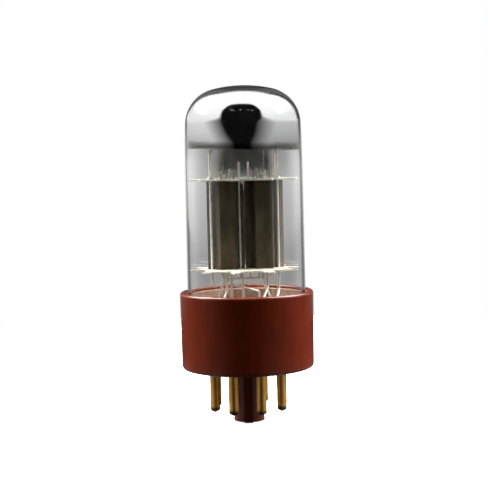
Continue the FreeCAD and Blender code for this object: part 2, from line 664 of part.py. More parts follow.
# Cathodes: nickel sleeves, with a folded heater wire inside each.
for letter, side in SECTIONS:
    body = new_body("cathode_" + letter)
    sketch = new_sketch(body, "cathode_%s_outline" % letter, "XY_Plane", P["cathode_foot"])
    circle(sketch, P["anode_pitch"] * side, 0.0, P["cathode_radius"])
    circle(sketch, P["anode_pitch"] * side, 0.0, P["cathode_radius"] - P["cathode_wall"])
    pad(body, sketch, "cathode_%s_sleeve" % letter, P["cathode_top"] - P["cathode_foot"])
    place_mount(body)
    u, leg, r = V["anode_pitch"] * side, V["heater_leg"], V["heater_wire"]
    low, high = V["heater_foot"], V["heater_top"]
    path = [Part.LineSegment(Vector(u - leg, 0, low), Vector(u - leg, 0, high)).toShape(),
            Part.Arc(Vector(u - leg, 0, high), Vector(u, 0, high + leg), Vector(u + leg, 0, high)).toShape(),
            Part.LineSegment(Vector(u + leg, 0, high), Vector(u + leg, 0, low)).toShape()]
    profile = Part.Wire([Part.Circle(Vector(u - leg, 0, low), Vector(0, 0, 1), r).toShape()])
    heater = Part.Wire(path).makePipeShell([profile], True, False)
    heater = heater if heater.ShapeType == "Solid" else Part.Solid(heater)
    heater.Placement = MOUNT.multiply(heater.Placement)
    made("heater_" + letter, heater)

# Locking rings on the outer rods, above and below each mica.
locks = []
for _, side in SECTIONS:
    for z in (V["mica_high"] + V["mica_thick"] + 0.01, V["mica_low"] - 0.51):
        x, y, _z = mount_xyz(V["outer_rod_at"] * side, -V["rod_front"], 0)
        body = Part.makeCylinder(0.72, 0.5, Vector(x, y, z), Vector(0, 0, 1))
        bore = Part.makeCylinder(V["rod_radius"] + 0.01, 0.6, Vector(x, y, z - 0.05), Vector(0, 0, 1))
        locks.append(body.cut(bore).Solids[0])
made("rod_locks", Part.Compound(locks))

# A small folded clip under the top mica, between the two sections.
clip = new_body("mica_clip")
clip_sketch = new_sketch(clip, "mica_clip_outline", "XZ_Plane", P["anode_depth"] + 0.6)
top = P["mica_high"] - 0.02
outline(clip_sketch, (-1.45, top), [(-0.15, top), (-0.55, top - 0.85), (-1.05, top - 0.85), (-1.45, top)])
pad(clip, clip_sketch, "mica_clip_sheet", 0.15)
place_mount(clip)

# ---------------------------------------------------------------- getter above the mount

ring_z = V["outer_rod_top"] + 1.4
gx, gy, _ = mount_xyz(0, 0, 0)
getter = doc.addObject("Part::Torus", "getter_ring")
getter.Label = "getter_ring"
getter.Radius1 = 3.6
getter.Radius2 = 0.55
getter.Placement = Placement(Vector(gx, gy, ring_z), Rotation())

# Two stays from the outer rods to the getter ring.
stays = []
for _, side in SECTIONS:
    stays.append(wire_rod([mount_xyz((V["outer_rod_at"] - V["rod_radius"] - 0.26) * side, -V["rod_front"], V["outer_rod_top"] - 4.0),
                           mount_xyz((V["outer_rod_at"] - V["rod_radius"] - 0.26) * side, -V["rod_front"], ring_z),
                           mount_xyz(4.2 * side, 0.0, ring_z)], 0.25, 0.8))
made("getter_stays", Part.Compound(stays))

# A flat strap welded beside the right rod, with a fine wire that runs up from it.
strap = new_body("getter_strap")
strap_sketch = new_sketch(strap, "strap_outline", "XZ_Plane", P["rod_front"] + P["rod_radius"] + 0.01)
s0 = P["mica_high"] + P["mica_thick"] + 0.56
outline(strap_sketch, (P["outer_rod_at"] - 0.95, s0),
        [(P["outer_rod_at"] + 0.35, s0), (P["outer_rod_at"] + 0.35, s0 + 2.2),
         (P["outer_rod_at"] - 0.95, s0 + 2.2), (P["outer_rod_at"] - 0.95, s0)])
pad(strap, strap_sketch, "strap_sheet", 0.18)
place_mount(strap)
made("getter_wire", wire_rod([mount_xyz(V["outer_rod_at"] - 0.75, -V["rod_front"] - V["rod_radius"] - 0.42, 47.1),
                              mount_xyz(V["outer_rod_at"] - 0.75, -V["rod_front"] - V["rod_radius"] - 0.42, 52.0),
                              mount_xyz(V["outer_rod_at"] - 1.6, -V["rod_front"] - V["rod_radius"] - 0.42, 55.5)], 0.2, 1.5))

# ---------------------------------------------------------------- leads
# Each lead rises from its pin's nose, through its seal in the stem, to its electrode under the mount.

lead = V["lead_radius"]
off = V["rod_radius"] + lead + 0.01
goff = V["grid_rod_radius"] + lead + 0.01
AT = V["anode_pitch"]
targets = {
    1: ("grid b", AT + V["grid_rod_at"], -goff, 14.0, 19.5, 22.9),
    2: ("anode b", V["outer_rod_at"], -V["rod_front"] + off, 15.0, 18.7, 22.5),
    3: ("cathode b", AT + 0.35, V["cathode_radius"] + lead + 0.02, 14.0, 20.1, 23.45),
    4: ("grid a", -AT + V["grid_rod_at"], goff, 17.7, 20.3, 22.9),
    5: ("anode a", -V["inner_rod_at"] + V["inner_rod_radius"] + lead + 0.01, -V["inner_rod_front"], 13.5, 15.5, 22.9),
    6: ("cathode a", -AT - 0.35, V["cathode_radius"] + lead + 0.02, 17.5, 22.4, 23.5),
    7: ("heater a", -AT - V["heater_leg"] - 0.12, -V["heater_wire"] - lead - 0.02, 13.5, 18.5, 22.4),
    8: ("heater b", -AT + V["heater_leg"] + 0.6, -V["heater_wire"] - lead - 0.02, 13.1, 15.5, 21.5),
}
inner_solids, outer_solids = [], []
middle = (V["stem_bottom"] + V["stem_top"]) / 2
for number in range(8):
    px, py = pin_place(number, V["pin_circle_radius"])
    sx, sy = pin_place(number, V["seal_circle"])
    outer_solids.append(wire_rod([(px, py, V["lead_foot"]), (px, py, 4.8), (sx, sy, 6.7), (sx, sy, middle)], lead, 0.9))
    _, u, v, z1, z2, z3 = targets[number + 1]
    tx, ty, _z = mount_xyz(u, v, 0)
    inner_solids.append(wire_rod([(sx, sy, middle + 0.01), (sx, sy, z1), (tx, ty, z2), (tx, ty, z3)], lead, 0.8))
made("outer_leads", Part.Compound(outer_solids))
made("inner_leads", Part.Compound(inner_solids))

# Two jumpers that put the heaters in parallel, one in front and one behind.
jumpers = []
for lr, fb, z in ((-1.0, 1.0, 21.3), (1.0, -1.0, 22.1)):
    v = (V["heater_wire"] + 0.17) * fb
    w = v + 2.6 * fb
    jumpers.append(wire_rod([mount_xyz(-AT + V["heater_leg"] * lr, v, z), mount_xyz(-AT + V["heater_leg"] * lr, w, z),
                             mount_xyz(AT + V["heater_leg"] * lr, w, z), mount_xyz(AT + V["heater_leg"] * lr, v, z)], 0.15, 0.6))
made("heater_jumpers", Part.Compound(jumpers))

# ---------------------------------------------------------------- check and write

doc.recompute()
for obj in doc.Objects:
    bad = [s for s in obj.State if s in ("Invalid", "Error")]
    if bad:
        raise RuntimeError("%s is %s" % (obj.Name, bad))

NODES = ["base_shell", "basing_cement"] + ["pin_%d" % (n + 1) for n in range(8)] + [
    "pin_solder", "glass_bulb", "getter_mirror", "glass_stem", "exhaust_tip", "outer_leads", "inner_leads",
    "mica_top", "mica_bottom", "anode_a_front", "anode_a_back", "anode_b_front", "anode_b_back",
    "rod_a_outer", "rod_a_inner", "rod_b_outer", "rod_b_inner",
    "grid_a_rods", "grid_a_winding", "grid_b_rods", "grid_b_winding",
    "cathode_a", "cathode_b", "heater_a", "heater_b", "heater_jumpers",
    "rod_locks", "mica_clip", "getter_ring", "getter_stays", "getter_strap", "getter_wire"]

os.makedirs("parts", exist_ok=True)
shapes = {}
for name in NODES:
    found = [o for o in doc.Objects if o.Label == name]
    if len(found) != 1:
        raise RuntimeError("%d objects are labelled %s" % (len(found), name))
    shape = found[0].Shape
    if shape.isNull() or not shape.isValid():
        raise RuntimeError(name + " has no valid shape")
    shapes[name] = shape
for name, shape in shapes.items():
    shape.exportStep("parts/%s.step" % name)
    print("%-16s solids %2d  volume %9.2f" % (name, len(shape.Solids), shape.Volume))
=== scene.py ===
import bpy, bmesh
import math, random
from mathutils import Vector, Matrix, noise


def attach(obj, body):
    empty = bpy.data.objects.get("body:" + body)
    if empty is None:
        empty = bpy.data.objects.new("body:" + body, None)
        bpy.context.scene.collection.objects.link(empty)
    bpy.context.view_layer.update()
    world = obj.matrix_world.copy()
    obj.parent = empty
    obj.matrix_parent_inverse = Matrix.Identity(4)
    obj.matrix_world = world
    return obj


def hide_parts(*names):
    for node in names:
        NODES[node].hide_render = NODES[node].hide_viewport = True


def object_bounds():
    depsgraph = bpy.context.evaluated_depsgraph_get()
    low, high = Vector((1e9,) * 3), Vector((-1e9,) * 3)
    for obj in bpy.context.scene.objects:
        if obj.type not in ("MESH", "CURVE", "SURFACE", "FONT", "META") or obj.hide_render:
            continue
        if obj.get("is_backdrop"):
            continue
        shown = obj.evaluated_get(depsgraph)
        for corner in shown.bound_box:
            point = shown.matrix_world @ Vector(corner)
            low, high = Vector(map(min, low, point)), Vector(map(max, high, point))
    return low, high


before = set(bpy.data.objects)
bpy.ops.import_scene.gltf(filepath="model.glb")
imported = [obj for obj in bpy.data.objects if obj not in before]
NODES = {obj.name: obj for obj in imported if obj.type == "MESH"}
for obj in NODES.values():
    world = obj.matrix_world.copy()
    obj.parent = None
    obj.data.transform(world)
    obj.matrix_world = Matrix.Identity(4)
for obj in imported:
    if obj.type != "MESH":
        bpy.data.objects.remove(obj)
cad_low, cad_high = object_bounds()
MM = 0.001
random.seed(7)

# ------------------------------------------------------------------ view and studio
scene = bpy.context.scene
scene.view_settings.view_transform = "Standard"
scene.view_settings.look = "None"
scene.view_settings.exposure = 0.0
scene.view_settings.gamma = 1.0

CAM_AZ = math.radians(2.4)
CAM_D = 0.297
CAM_Z = 0.0499
PITCH = math.radians(3.833)
ROLL = math.radians(1.32)

cam_data = bpy.data.cameras.new("camera")
cam_data.sensor_width = 36.0
cam_data.lens = 90.6
cam_data.clip_start, cam_data.clip_end = 0.01, 20.0
cam = bpy.data.objects.new("camera", cam_data)
scene.collection.objects.link(cam)
scene.camera = cam
right = Vector((math.cos(CAM_AZ), math.sin(CAM_AZ), 0))
cam_pos = Vector((math.sin(CAM_AZ) * CAM_D, -math.cos(CAM_AZ) * CAM_D, CAM_Z)) - right * 0.00037
ahead = Vector((-math.sin(CAM_AZ) * math.cos(PITCH), math.cos(CAM_AZ) * math.cos(PITCH), -math.sin(PITCH)))
turn = ahead.to_track_quat("-Z", "Y")
cam.rotation_mode = "QUATERNION"
cam.rotation_quaternion = turn @ Matrix.Rotation(-ROLL, 4, "Z").to_quaternion()
cam.location = cam_pos


def nodes_of(owner):
    owner.use_nodes = True
    tree = owner.node_tree
    tree.nodes.clear()
    return tree


class Net:
    """A short way to write a node tree."""

    def __init__(self, tree):
        self.tree = tree

    def add(self, kind, **props):
        n = self.tree.nodes.new(kind)
        for k, v in props.items():
            setattr(n, k, v)
        return n

    def link(self, a, b):
        self.tree.links.new(a, b)

    def put(self, socket, x):
        if isinstance(x, bpy.types.NodeSocket):
            self.link(x, socket)
        elif x is not None:
            socket.default_value = x

    def math(self, op, a, b=None, c=None, clamp=False):
        n = self.add("ShaderNodeMath", operation=op, use_clamp=clamp)
        for i, x in enumerate((a, b, c)):
            self.put(n.inputs[i], x)
        return n.outputs[0]

    def step(self, x, lo, hi, a=0.0, b=1.0, kind="SMOOTHSTEP"):
        n = self.add("ShaderNodeMapRange", interpolation_type=kind)
        self.put(n.inputs["Value"], x)
        for name, v in (("From Min", lo), ("From Max", hi), ("To Min", a), ("To Max", b)):
            self.put(n.inputs[name], v)
        return n.outputs["Result"]

    def mix(self, f, a, b, kind="RGBA", blend="MIX"):
        n = self.add("ShaderNodeMix", data_type=kind)
        if kind == "RGBA":
            n.blend_type = blend
            self.put(n.inputs[0], f)
            self.put(n.inputs[6], a)
            self.put(n.inputs[7], b)
            return n.outputs[2]
        self.put(n.inputs[0], f)
        self.put(n.inputs[2], a)
        self.put(n.inputs[3], b)
        return n.outputs[0]

    def noise(self, scale, detail=3.0, rough=0.5, vector=None, stretch=None, seed=0.0):
        if vector is None:
            vector = self.coords()
        m = self.add("ShaderNodeMapping")
        self.link(vector, m.inputs["Vector"])
        m.inputs["Location"].default_value = (seed, seed * 1.7, seed * 0.6)
        m.inputs["Scale"].default_value = stretch or (1, 1, 1)
        n = self.add("ShaderNodeTexNoise")
        self.link(m.outputs[0], n.inputs["Vector"])
        n.inputs["Scale"].default_value = scale
        n.inputs["Detail"].default_value = detail
        n.inputs["Roughness"].default_value = rough
        return n.outputs["Fac"]

    def coords(self):
        n = self.add("ShaderNodeTexCoord")
        return n.outputs["Object"]

    def split(self, vector=None):
        n = self.add("ShaderNodeSeparateXYZ")
        self.link(vector if vector is not None else self.coords(), n.inputs[0])
        return n.outputs[0], n.outputs[1], n.outputs[2]

    def bump(self, height, strength, distance):
        n = self.add("ShaderNodeBump")
        self.link(height, n.inputs["Height"])
        n.inputs["Strength"].default_value = strength
        n.inputs["Distance"].default_value = distance
        return n.outputs["Normal"]

    def shader(self, **values):
        n = self.add("ShaderNodeBsdfPrincipled")
        for k, v in values.items():
            self.put(n.inputs[k.replace("_", " ")], v)
        return n


# The studio, by direction: bright panels at both sides, a lamp box overhead that runs on past the zenith, a dark
# gap in front between the panels, and a dim room behind. What the lens sees past the object is plain white.
world = bpy.data.worlds.new("studio")
scene.world = world
w = Net(nodes_of(world))
direction = w.add("ShaderNodeTexCoord").outputs["Generated"]
dx, dy, dz = w.split(direction)
az = w.math("DEGREES", w.math("ARCTAN2", dx, w.math("MULTIPLY", dy, -1.0)))
el = w.math("DEGREES", w.math("ARCSINE", dz))


def by_height(points, scale, at=None):
    """A value at each elevation from -10 to 90 degrees, through these points."""
    node = w.add("ShaderNodeFloatCurve")
    w.link(w.math("DIVIDE", w.math("ADD", at if at is not None else el, 10.0), 100.0, clamp=True), node.inputs["Value"])
    line = node.mapping.curves[0]
    line.points[0].location = (0.0, points[0][1] / scale)
    line.points[1].location = (1.0, points[-1][1] / scale)
    for e, v in points[1:-1]:
        line.points.new((e + 10) / 100, v / scale)
    for p in line.points:
        p.handle_type = "VECTOR"
    node.mapping.update()
    return w.math("MULTIPLY", node.outputs["Value"], scale)


# Low down, a panel's edge drops towards the sides, as a box of light seen from nearby does.
half = w.math("COSINE", w.math("MULTIPLY", w.math("RADIANS", az), 0.5))
top_line = w.math("SUBTRACT", w.math("ADD", w.math("MULTIPLY", half, 21.549), 7.5656), el)
top_line = w.math("DIVIDE", top_line, w.math("ADD", w.math("MULTIPLY", half, 0.12804), 0.04673))
near = w.math("SUBTRACT", 29.115, w.math("MULTIPLY", top_line, 0.17477))
low = w.mix(w.step(el, 7.0, 13.0), near, el, kind="FLOAT")
centre = by_height([(-10, 0), (4, 0), (7, 5), (15, 1), (90, 1)], 10.0)
az_abs = w.math("ABSOLUTE", w.math("ADD", az, centre))
gap = by_height([(-10, 38), (-6, 42), (-4.6, 50), (1.4, 50), (3.0, 16), (4, 15), (4.9, 22), (6, 29.5), (7.4, 35), (9, 38), (12, 40), (15, 41), (20, 42),
                 (40, 45), (55, 41), (63, 34), (68, 21), (71, 0), (90, 0)], 60.0, low)
fade = by_height([(-10, 30), (-6, 26), (-4.6, 14), (1.4, 14), (3.0, 34), (4, 38), (8, 46), (10, 36), (14, 20), (20, 8), (30, 5), (90, 4)], 60.0, low)
lit = w.step(w.math("DIVIDE", w.math("SUBTRACT", az_abs, gap), fade), -0.03, 1.0, kind="LINEAR")
side_end = w.step(az_abs, 144.0, 156.0, 1.0, 0.0)
height = by_height([(-10, 0.08), (-6, 0.10), (-4.6, 0.60), (-1, 0.85), (0.5, 0.85), (3, 0.50), (4, 0.50), (4.65, 0.56), (6, 0.70), (7.4, 0.77), (8.1, 0.82),
                    (10, 0.88), (14, 0.95), (22, 1.02), (36, 1.10), (80, 1.15), (90, 1.15)], 1.5, low)
low_right = w.math("MULTIPLY", w.step(dx, -0.1, 0.1), w.step(low, 7.0, 9.5, 0.28, 0.0))
height = w.math("MULTIPLY", height, w.math("SUBTRACT", 1.0, low_right))
flank = w.math("MULTIPLY", w.step(az_abs, 83.0, 94.0), w.step(az_abs, 130.0, 144.0, 1.0, 0.0))
flank = w.math("MULTIPLY", w.math("MULTIPLY", flank, w.step(el, 22.0, 36.0)), w.step(el, 66.0, 78.0, 1.0, 0.0))
panel = w.math("MULTIPLY", w.math("MULTIPLY", lit, side_end), w.math("ADD", height, w.math("MULTIPLY", flank, 23.0)))
over = w.math("DEGREES", w.math("ARCTAN2", dz, w.math("MULTIPLY", dy, -1.0)))
roof = w.math("MULTIPLY", w.step(over, 64.0, 70.0), w.step(over, 122.0, 132.0, 1.0, 0.0))
roof = w.math("MULTIPLY", w.math("MULTIPLY", roof, w.step(el, 36.0, 44.0)), 1.15)
overhead = w.math("MULTIPLY", w.step(el, 74.0, 81.0), 5.0)
bright = w.math("ADD", w.math("MAXIMUM", panel, roof), overhead)
room = by_height([(-10, 0.36), (-5, 0.40), (0, 0.60), (1.0, 0.54), (2.6, 0.15), (6, 0.10), (45, 0.09), (90, 0.09)], 1.0)
off = w.math("ABSOLUTE", w.math("ADD", dx, 0.036))
room = w.math("MULTIPLY", room, w.math("MULTIPLY", w.step(off, 0.07, 0.19, 0.80, 1.48), w.step(off, 0.30, 0.38, 1.0, 0.28)))
room = w.math("MULTIPLY", room, w.step(dx, 0.0, 0.1, 1.0, 0.96))
stand = w.math("MULTIPLY", w.step(off, 0.012, 0.030, 0.92, 0.0), w.math("MULTIPLY", w.step(el, -1.5, -1.0, 1.0, 0.0), w.step(el, -5.0, -4.5)))
room = w.math("MULTIPLY", room, w.math("SUBTRACT", 1.0, stand))
back = w.math("MULTIPLY", w.step(dy, 0.1, 0.6), room)
for a, e, power in ((-27, 44, 1.6), (-20, 42, 1.2), (-3, 45, 1.6), (16, 43, 1.2), (26, 41, 1.4)):
    da = w.math("MULTIPLY", w.math("SUBTRACT", az, float(a)), 0.73)
    de = w.math("SUBTRACT", el, float(e))
    far_off = w.math("SQRT", w.math("ADD", w.math("MULTIPLY", da, da), w.math("MULTIPLY", de, de)))
    bright = w.math("ADD", bright, w.step(far_off, 0.5, 1.5, 0.6 * power, 0.0))
level = w.math("MAXIMUM", w.math("ADD", bright, 0.004), back)
path = w.add("ShaderNodeLightPath")
cam_ray = path.outputs["Is Camera Ray"]
bg_env = w.add("ShaderNodeBackground")
bg_env.inputs["Color"].default_value = (1, 1, 1, 1)
w.link(level, bg_env.inputs["Strength"])
bg_cam = w.add("ShaderNodeBackground")
bg_cam.inputs["Color"].default_value = (1, 1, 1, 1)
bg_cam.inputs["Strength"].default_value = 1.0
pick = w.add("ShaderNodeMixShader")
w.link(cam_ray, pick.inputs[0])
w.link(bg_env.outputs[0], pick.inputs[1])
w.link(bg_cam.outputs[0], pick.inputs[2])
out = w.add("ShaderNodeOutputWorld")
w.link(pick.outputs[0], out.inputs["Surface"])

# floor
bm = bmesh.new()
bmesh.ops.create_circle(bm, cap_ends=True, radius=0.2, segments=96)
mesh = bpy.data.meshes.new("floor")
bm.to_mesh(mesh)
bm.free()
floor = bpy.data.objects.new("floor", mesh)
scene.collection.objects.link(floor)
floor.location = (0, 0, cad_low.z - 0.0001)
m = bpy.data.materials.new("floor_white")
n = Net(nodes_of(m))
lp = n.add("ShaderNodeLightPath")
soft = n.noise(6.0, 2.0)
diff = n.add("ShaderNodeBsdfDiffuse")
n.link(n.mix(soft, (0.86, 0.86, 0.86, 1), (0.9, 0.9, 0.9, 1)), diff.inputs["Color"])
glow = n.add("ShaderNodeEmission")
glow.inputs["Strength"].default_value = 0.62
both = n.add("ShaderNodeAddShader")
n.link(diff.outputs[0], both.inputs[0])
n.link(glow.outputs[0], both.inputs[1])
dim = n.add("ShaderNodeEmission")
dim.inputs["Color"].default_value = (1, 1, 1, 1)
fx, fy, fz = n.split()
around = n.math("ABSOLUTE", n.math("DEGREES", n.math("ARCTAN2", fx, n.math("MULTIPLY", fy, -1.0))))
far = n.math("SQRT", n.math("ADD", n.math("MULTIPLY", fx, fx), n.math("MULTIPLY", fy, fy)))
pool = n.math("MULTIPLY", n.step(around, 14.0, 46.0, 0.03, 0.42), n.step(far, 0.06, 0.11, 1.0, 0.22))
n.link(n.math("MULTIPLY", pool, n.step(around, 110.0, 150.0, 1.0, 0.5)), dim.inputs["Strength"])
pick = n.add("ShaderNodeMixShader")
n.link(lp.outputs["Is Camera Ray"], pick.inputs[0])
n.link(dim.outputs[0], pick.inputs[1])
n.link(both.outputs[0], pick.inputs[2])
o = n.add("ShaderNodeOutputMaterial")
n.link(pick.outputs[0], o.inputs["Surface"])
floor.data.materials.append(m)
floor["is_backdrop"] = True


def area(name, pos, target, size, power, size_y=None):
    data = bpy.data.lights.new(name, "AREA")
    data.shape = "RECTANGLE" if size_y else "SQUARE"
    data.size = size
    if size_y:
        data.size_y = size_y
    data.energy = power
    obj = bpy.data.objects.new(name, data)
    scene.collection.objects.link(obj)
    obj.location = pos
    obj.rotation_mode = "QUATERNION"
    obj.rotation_quaternion = (Vector(target) - Vector(pos)).to_track_quat("-Z", "Y")
    obj.visible_camera = False
    return obj


# ------------------------------------------------------------------ materials
def material(name):
    m = bpy.data.materials.new(name)
    return m, Net(nodes_of(m))


def finish_material(m, n, surface):
    o = n.add("ShaderNodeOutputMaterial")
    n.link(surface, o.inputs["Surface"])
    return m


def phenolic():
    m, n = material("phenolic")
    x, y, z = n.split()
    cloud = n.noise(140.0, 4.0, 0.6)
    flow = n.noise(420.0, 3.0, 0.55, stretch=(1, 1, 0.25), seed=3.0)
    speck = n.noise(2600.0, 2.0, 0.5, seed=5.0)
    tone = n.math("ADD", n.math("MULTIPLY", cloud, 0.6), n.math("MULTIPLY", flow, 0.4))
    color = n.mix(n.step(tone, 0.35, 0.65), (0.100, 0.0118, 0.0032, 1), (0.128, 0.0160, 0.0048, 1))
    color = n.mix(n.step(speck, 0.66, 0.74, 0.0, 0.2), color, (0.16, 0.025, 0.010, 1))
    rough = n.step(n.noise(900.0, 3.0, 0.6, seed=9.0), 0.3, 0.7, 0.13, 0.20)
    height = n.math("ADD", n.math("MULTIPLY", n.noise(260.0, 2.0, seed=2.0), 0.5),
                    n.math("MULTIPLY", n.noise(3200.0, 2.0, seed=4.0), 0.05))
    b = n.shader(Base_Color=color, Roughness=rough, Normal=n.bump(height, 0.06, 0.00003))
    b.inputs["Specular IOR Level"].default_value = 0.3
    return finish_material(m, n, b.outputs[0])


def metal(name, color_a, color_b, rough_a, rough_b, stretch=(1, 1, 0.08), scale=2500.0, bump=0.05, tip=None, shine=1.0):
    m, n = material(name)
    streak = n.noise(scale, 3.0, 0.6, stretch=stretch)
    blotch = n.noise(500.0, 3.0, 0.6, seed=8.0)
    color = n.mix(n.step(blotch, 0.35, 0.68), color_a, color_b)
    if tip is not None:
        x, y, z = n.split()
        dull = n.step(n.math("ADD", z, n.math("MULTIPLY", blotch, 0.0012)), tip[0], tip[1], 1.0, 0.0)
        color = n.mix(n.math("MULTIPLY", dull, tip[2]), color, tip[3])
    rough = n.step(streak, 0.3, 0.7, rough_a, rough_b)
    b = n.shader(Base_Color=color, Roughness=rough, Normal=n.bump(streak, bump, 0.00005))
    b.inputs["Metallic"].default_value = shine
    return finish_material(m, n, b.outputs[0])


def anode_mat():
    m, n = material("carbonised_nickel")
    x, y, z = n.split()
    cloud = n.noise(260.0, 4.0, 0.6, stretch=(1, 1, 0.35))
    grain = n.noise(5000.0, 2.0, 0.6, seed=2.0)
    color = n.mix(n.step(cloud, 0.35, 0.7), (0.044, 0.035, 0.020, 1), (0.088, 0.070, 0.044, 1))
    stain = n.noise(210.0, 3.0, 0.6, stretch=(1, 1, 0.12), seed=11.0)
    color = n.mix(n.step(stain, 0.48, 0.60, 0.0, 0.85), color, (0.062, 0.030, 0.012, 1))
    # Painted light: past x = 7.8 mm the anode wing is coloured a lighter brown, standing in for the light that falls on
    # the right-hand wing.
    painted_light_wing = n.step(n.math("ADD", x, n.math("MULTIPLY", cloud, 0.0002)), 0.0078, 0.0081)
    color = n.mix(n.math("MULTIPLY", painted_light_wing, 0.85), color, (0.27, 0.215, 0.165, 1))
    bare = n.math("MAXIMUM", n.step(z, 0.0457, 0.0460), n.step(z, 0.0236, 0.0239, 1.0, 0.0))
    color = n.mix(bare, color, (0.74, 0.70, 0.62, 1))
    rough = n.math("SUBTRACT", n.step(cloud, 0.3, 0.7, 0.44, 0.58), n.math("MULTIPLY", bare, 0.16))
    height = n.math("ADD", n.math("MULTIPLY", cloud, 0.8), n.math("MULTIPLY", grain, 0.15))
    b = n.shader(Base_Color=color, Roughness=rough, Normal=n.bump(height, 0.3, 0.00008))
    n.link(n.math("ADD", n.math("MULTIPLY", bare, 0.5), 0.45), b.inputs["Metallic"])
    b.inputs["Specular IOR Level"].default_value = 0.05
    return finish_material(m, n, b.outputs[0])


def mica_mat():
    m, n = material("mica_sheet")
    flake = n.noise(700.0, 4.0, 0.65)
    layer = n.noise(2400.0, 2.0, 0.5, stretch=(1, 1, 6), seed=3.0)
    color = n.mix(n.step(flake, 0.35, 0.65), (0.52, 0.48, 0.39, 1), (0.76, 0.72, 0.62, 1))
    rough = n.step(layer, 0.3, 0.7, 0.25, 0.45)
    b = n.shader(Base_Color=color, Roughness=rough, Normal=n.bump(flake, 0.3, 0.00006))
    b.inputs["Transmission Weight"].default_value = 0.12
    b.inputs["Subsurface Weight"].default_value = 0.25
    b.inputs["Subsurface Radius"].default_value = (0.8, 0.7, 0.5)
    b.inputs["Subsurface Scale"].default_value = 0.0008
    b.inputs["Coat Weight"].default_value = 0.3
    return finish_material(m, n, b.outputs[0])


def plain_mat(name, color_a, color_b, rough, scale=900.0, bump=0.3, depth=0.00008):
    m, n = material(name)
    cloud = n.noise(scale, 4.0, 0.6)
    b = n.shader(Base_Color=n.mix(n.step(cloud, 0.35, 0.65), color_a, color_b),
                 Roughness=n.step(cloud, 0.3, 0.7, rough, min(1.0, rough + 0.15)),
                 Normal=n.bump(cloud, bump, depth))
    return finish_material(m, n, b.outputs[0])


def glass_mat(name, tint=(1, 1, 1, 1), wave=0.02):
    """Clear glass. Lamps reach what is inside through a clear stand-in."""
    m, n = material(name)
    ripple = n.noise(120.0, 2.0, 0.4, stretch=(1, 1, 0.35))
    seed = n.noise(2200.0, 2.0, 0.5, seed=6.0)
    height = n.math("ADD", ripple, n.math("MULTIPLY", n.step(seed, 0.74, 0.8), 0.02))
    b = n.shader(Normal=n.bump(height, wave, 0.0004))
    b.inputs["Base Color"].default_value = tint
    b.inputs["Roughness"].default_value = 0.0
    b.inputs["IOR"].default_value = 1.5
    b.inputs["Transmission Weight"].default_value = 1.0
    clear = n.add("ShaderNodeBsdfTransparent")
    clear.inputs["Color"].default_value = (0.93, 0.94, 0.94, 1)
    lp = n.add("ShaderNodeLightPath")
    mix = n.add("ShaderNodeMixShader")
    n.link(lp.outputs["Is Shadow Ray"], mix.inputs[0])
    n.link(b.outputs[0], mix.inputs[1])
    n.link(clear.outputs[0], mix.inputs[2])
    return finish_material(m, n, mix.outputs[0])


def film_mat():
    """Getter film: a silver mirror that ends in a thin dark line, and reaches lower, thinner and darker, at the back."""
    m, n = material("getter_film")
    x, y, z = n.split()
    drift = n.math("MULTIPLY", n.math("SUBTRACT", n.noise(90.0, 2.0, 0.5), 0.5), 0.0008)
    line = n.math("ADD", n.math("ADD", z, drift), n.math("MULTIPLY", x, 0.032))
    shoulder = n.step(line, 0.0527, 0.0532)
    bright = n.step(line, 0.0532, 0.0549)
    behind = n.math("MULTIPLY", n.step(y, 0.004, 0.010), n.step(n.math("ABSOLUTE", x), 0.0058, 0.0122, 1.0, 0.0))
    smoke = n.math("MULTIPLY", behind, n.step(n.math("ADD", z, drift), 0.0459, 0.0495, 0.45, 0.74))
    sides = n.step(n.math("ABSOLUTE", x), 0.0065, 0.0105, 1.0, 0.5)
    cover = n.math("MAXIMUM", n.math("MAXIMUM", n.math("MULTIPLY", shoulder, sides), bright), smoke)
    thin = n.mix(shoulder, (0.36, 0.34, 0.31, 1), (0.11, 0.10, 0.09, 1))
    color = n.mix(bright, thin, (0.86, 0.86, 0.87, 1))
    mottle = n.noise(380.0, 3.0, 0.6, seed=4.0)
    rough = n.step(mottle, 0.35, 0.75, 0.03, 0.06)
    b = n.shader(Base_Color=color, Roughness=rough, Alpha=cover)
    b.inputs["Metallic"].default_value = 1.0
    return finish_material(m, n, b.outputs[0])


MAT = {
    "phenolic": phenolic(),
    "gold": metal("gold_plate", (0.86, 0.48, 0.125, 1), (0.72, 0.37, 0.075, 1), 0.36, 0.46, bump=0.02,
                  tip=(-0.0090, -0.0081, 0.92, (0.045, 0.035, 0.015, 1))),
    "solder": metal("solder", (0.05, 0.045, 0.03, 1), (0.12, 0.11, 0.09, 1), 0.35, 0.55, stretch=(1, 1, 1), scale=1500, bump=0.3),
    "nickel": metal("drawn_nickel", (0.92, 0.88, 0.79, 1), (0.80, 0.75, 0.65, 1), 0.26, 0.42, shine=0.6),
    "nickel_wire": metal("nickel_wire", (0.90, 0.86, 0.76, 1), (0.76, 0.71, 0.61, 1), 0.28, 0.42, shine=0.7),
    "grid_rod": metal("grid_rod", (0.86, 0.77, 0.62, 1), (0.74, 0.64, 0.49, 1), 0.28, 0.42),
    "copper": metal("copper_rod", (0.72, 0.50, 0.36, 1), (0.60, 0.38, 0.24, 1), 0.25, 0.42),
    "anode": anode_mat(),
    "mica": mica_mat(),
    "cement": plain_mat("basing_cement", (0.16, 0.085, 0.05, 1), (0.26, 0.15, 0.09, 1), 0.7, 1200.0, 0.6, 0.0002),
    "alumina": plain_mat("alumina_coat", (0.80, 0.79, 0.76, 1), (0.70, 0.68, 0.64, 1), 0.7, 3000.0, 0.4),
    "oxide": plain_mat("cathode_sleeve", (0.62, 0.61, 0.58, 1), (0.50, 0.48, 0.45, 1), 0.5, 2400.0, 0.3),
    "glass": glass_mat("bulb_glass"),
    "stem_glass": glass_mat("stem_glass", (0.96, 0.985, 0.975, 1), 0.05),
    "film": film_mat(),
}


